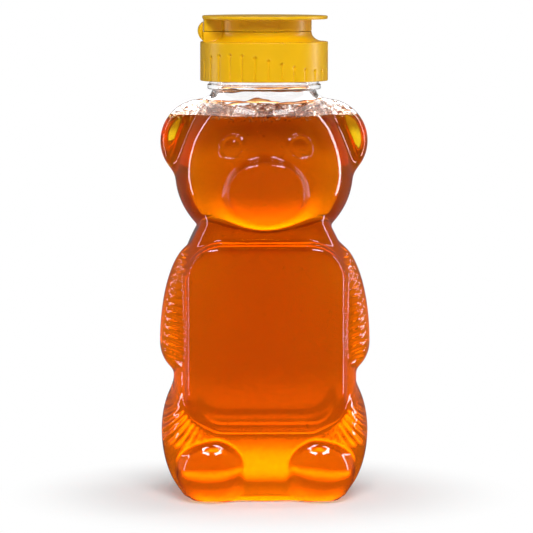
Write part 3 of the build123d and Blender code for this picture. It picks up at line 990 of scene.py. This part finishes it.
def glow_sheet_material():
    """Low glowing sheet behind the bottle's feet, not a lamp, which only shows through the honey: painted
    light that brightens the honey's lower part.
    It fades into the surround at its top and sides."""
    material, tree, _ = new_material("Low_Glow_Sheet")
    tree.nodes.remove(tree.nodes["Principled BSDF"])
    at = tree.add("ShaderNodeSeparateXYZ", tree.add("ShaderNodeTexCoord")["Object"])
    rise, fall = tree.ramp(at["Z"], 0.0, 0.005, 2.5, 7.0), tree.ramp(at["Z"], 0.004, 0.013, 1.0, 0.0)
    middle = tree.ramp(tree.math("ABSOLUTE", at["X"]), 0.02, 0.06, 1.0, 0.0)
    strength = tree.math("MULTIPLY_ADD", tree.math("MULTIPLY", rise, fall), middle, 1.3)
    glow = tree.add("ShaderNodeEmission", Strength=strength)["Emission"]
    clear = tree.add("ShaderNodeBsdfTransparent")["BSDF"]
    crossed = tree.add("ShaderNodeLightPath")["Is Transmission Ray"]
    share = tree.math("MULTIPLY", crossed, tree.ramp(at["Z"], 0.009, 0.022, 1.0, 0.0))
    tree.cover(share, clear, glow)
    return material


def make_world(scene):
    """Surround with its own brightness for each kind of ray: plain white where it is seen directly, soft
    light on the object, and little to reflect. Seen through the bottle, it glows behind it, more so upwards
    and less so to the sides, and is dark on the camera's side."""
    world = bpy.data.worlds.new("studio")
    scene.world = world
    world.use_nodes = True
    tree = Tree(world.node_tree)
    path = tree.add("ShaderNodeLightPath")
    at = tree.add("ShaderNodeSeparateXYZ", tree.add("ShaderNodeTexCoord")["Generated"])
    wide = tree.math("ABSOLUTE", at["X"])
    upward, inward = tree.ramp(at["Z"], 0.04, 0.62, 0.0, 8.0), tree.ramp(wide, 0.15, 0.6, 1.0, 0.15)
    through = tree.math("MULTIPLY_ADD", upward, inward, tree.ramp(wide, 0.9, 0.99, 1.05, 0.3))
    through = tree.math("MULTIPLY", through, tree.ramp(at["Y"], -0.6, -0.1, 0.04, 1.0))
    strength = tree.mix(path["Is Glossy Ray"], 0.14, tree.ramp(at["Y"], -0.25, 0.6, 0.01, 0.14))
    strength = tree.mix(path["Is Transmission Ray"], strength, through)
    surround = tree.nodes["Background"].inputs
    tree.put(surround["Color"], WHITE)
    tree.put(surround["Strength"], tree.math("MAXIMUM", strength, path["Is Camera Ray"]))


def make_lamps(scene):
    """Narrow strips beside the bottle and two boxes over it, for highlights, and a soft box in front."""
    for name, side, width, glow in (("strip_left", -1.0, 0.014, 9.0), ("strip_right", 1.0, 0.022, 11.0)):
        strip = make_lamp(scene, name, (0.24 * side, 0.04, 0.155), (width, 0.3), 0.155, glow)
        strip.visible_transmission = False
    for name, side in (("key_left", -1.0), ("key_right", 1.0)):
        key = make_lamp(scene, name, (0.3 * side, -0.31, 0.96), (0.4, 0.15), 0.11, 22.0)
        key.visible_diffuse = False
    fill = make_lamp(scene, "fill", (0.05, -0.8, 0.8), (0.5, 0.5), 0.13, 12.5)
    fill.visible_glossy = False
    fill.visible_transmission = False


def make_lamp(scene, name, place, size, height, glow):
    """Rectangular soft box that faces the axis at a height. Glow is its brightness beside plain white."""
    light = bpy.data.lights.new(name, "AREA")
    light.shape = "RECTANGLE"
    light.size, light.size_y = size
    light.energy = glow * pi * size[0] * size[1]
    lamp = bpy.data.objects.new(name, light)
    scene.collection.objects.link(lamp)
    lamp.location = place
    towards = Vector((0.0, 0.0, height)) - Vector(place)
    lamp.rotation_euler = towards.to_track_quat("-Z", "Y").to_euler()
    return lamp


def make_camera(scene):
    """Camera that sees the bottle as the photograph does: a long lens, a little above and to one side."""
    data = bpy.data.cameras.new("camera")
    data.lens = 233.5
    data.sensor_width = 36.0
    camera = bpy.data.objects.new("camera", data)
    scene.collection.objects.link(camera)
    away = radians(-1.7)
    camera.location = (1.1 * sin(away), -1.1 * cos(away), 0.174)
    camera.rotation_euler = Euler((radians(90.0 - 5.245), 0.0, away - radians(0.04)))
    scene.camera = camera


class BEAR_OT_stage(Operator):
    """Pale floor, a low sheet of painted glow seen only through the honey, soft studio light and the camera
    """

    bl_idname = "bear.stage"
    bl_label = "Stage"

    def execute(self, context):
        scene = context.scene
        corners = [(-3, -3, 0), (3, -3, 0), (3, 3, 0), (-3, 3, 0)]
        floor = flat_sheet(scene, "floor", corners, floor_material(scene))
        # Painted light: a sheet behind the feet that glows only through the honey.
        corners = [(-0.08, 0.085, 0.0), (0.08, 0.085, 0.0), (0.08, 0.085, 0.03), (-0.08, 0.085, 0.03)]
        card = flat_sheet(scene, "low_glow_sheet", corners, glow_sheet_material())
        make_world(scene)
        make_lamps(scene)
        make_camera(scene)
        scene.view_settings.view_transform = "Standard"
        scene.cycles.max_bounces = 80
        scene.cycles.transmission_bounces = 80
        scene.cycles.glossy_bounces = 12
        scene.cycles.volume_bounces = 2
        return {"FINISHED"}


class BEAR_PT_panel(Panel):
    """Builds the honey bear's pieces"""

    bl_label = "Honey Bear"
    bl_idname = "BEAR_PT_panel"
    bl_space_type = "VIEW_3D"
    bl_region_type = "UI"
    bl_category = "Honey Bear"

    def draw(self, context):
        for name in BearSizes.__annotations__:
            self.layout.prop(context.scene.bear_sizes, name)
        for name in BearFinishes.__annotations__:
            self.layout.prop(context.scene.bear_finishes, name)
        for operator in PIECES:
            self.layout.operator(operator.bl_idname)


PIECES = (
    BEAR_OT_bottle, BEAR_OT_honey, BEAR_OT_bubbles, BEAR_OT_residue, BEAR_OT_liner, BEAR_OT_cap, BEAR_OT_lid,
    BEAR_OT_hinge, BEAR_OT_stage,
)
CLASSES = (BearSizes, BearFinishes, *PIECES, BEAR_PT_panel)


def register():
    for item in CLASSES:
        bpy.utils.register_class(item)
    Scene.bear_sizes = PointerProperty(type=BearSizes)
    Scene.bear_finishes = PointerProperty(type=BearFinishes)


def unregister():
    del Scene.bear_finishes
    del Scene.bear_sizes
    for item in reversed(CLASSES):
        bpy.utils.unregister_class(item)


def main():
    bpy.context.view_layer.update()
    register()
    for piece in PIECES:
        getattr(bpy.ops.bear, piece.bl_idname.removeprefix("bear."))()


if __name__ == "__main__":
    main()
